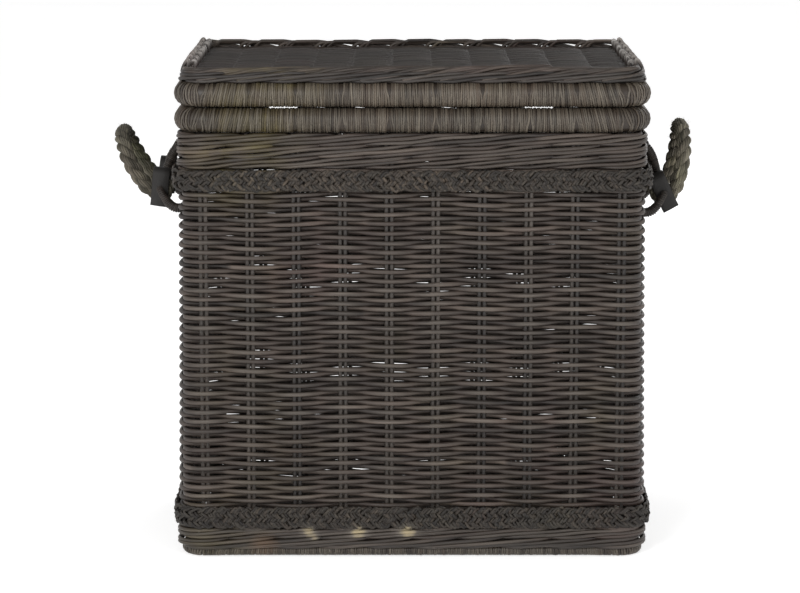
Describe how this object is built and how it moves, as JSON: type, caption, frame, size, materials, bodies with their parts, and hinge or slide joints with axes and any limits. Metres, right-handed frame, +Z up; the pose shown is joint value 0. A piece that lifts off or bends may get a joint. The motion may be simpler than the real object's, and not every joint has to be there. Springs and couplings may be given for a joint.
{
  "type": "laundry basket",
  "caption": "Tall rectangular hamper of dark stained woven cane with plaited bands, wrapped rims, a hinged woven lid and a rope handle on each side.",
  "frame": {"origin": "on the floor under the middle of the basket", "axes": "+Z up, front face towards -Y, +X to the right seen from the front"},
  "size_m": [0.6383, 0.348, 0.5345],
  "materials": {
    "weaver_cane": "dark brown stained round cane, matt with a dull sheen",
    "stake_cane": "dark brown stained cane rods",
    "braid_cane": "dark olive brown plaited cane peel, rough",
    "peel_wrap": "grey brown cane peel wound tightly, satin",
    "rope": "olive grey twisted natural fibre rope, hairy",
    "strap_leather": "near black leather, soft matt"
  },
  "bodies": {
    "basket": {"stakes_front": "stake_cane", "stakes_back": "stake_cane", "stakes_left": "stake_cane", "stakes_right": "stake_cane", "base_rim_core": "stake_cane", "base_rim_wrap": "peel_wrap", "base_rods": "stake_cane", "base_panel": "weaver_cane", "lower_wale": "weaver_cane", "lower_braid": "braid_cane", "weave_main": "weaver_cane", "upper_braid": "braid_cane", "upper_wale": "weaver_cane", "body_rim_core": "stake_cane", "body_rim_wrap": "peel_wrap", "left_ear_front": "peel_wrap", "left_ear_rear": "peel_wrap", "right_ear_front": "peel_wrap", "right_ear_rear": "peel_wrap"},
    "lid": {"lid_rim_core": "stake_cane", "lid_rim_wrap": "peel_wrap", "lid_stakes": "stake_cane", "lid_band": "weaver_cane", "lid_ribs": "stake_cane", "lid_top_panel": "weaver_cane", "lid_top_border": "weaver_cane", "hinge_loop_left": "peel_wrap", "hinge_loop_right": "peel_wrap"},
    "left_handle": {"left_rope": "rope", "left_strap_front": "strap_leather", "left_strap_rear": "strap_leather"},
    "right_handle": {"right_rope": "rope", "right_strap_front": "strap_leather", "right_strap_rear": "strap_leather"}
  },
  "joints": [
    {"name": "lid_hinge", "type": "hinge", "parent": "basket", "child": "lid", "pos_m": [0, 0.1565, 0.4745], "axis": [-1, 0, 0], "range_deg": [0, 110]},
    {"name": "left_handle_swing", "type": "hinge", "parent": "basket", "child": "left_handle", "pos_m": [-0.277, 0, 0.388], "axis": [0, -1, 0], "range_deg": [-45, 95]},
    {"name": "right_handle_swing", "type": "hinge", "parent": "basket", "child": "right_handle", "pos_m": [0.277, 0, 0.383], "axis": [0, 1, 0], "range_deg": [-25, 125]}
  ]
}
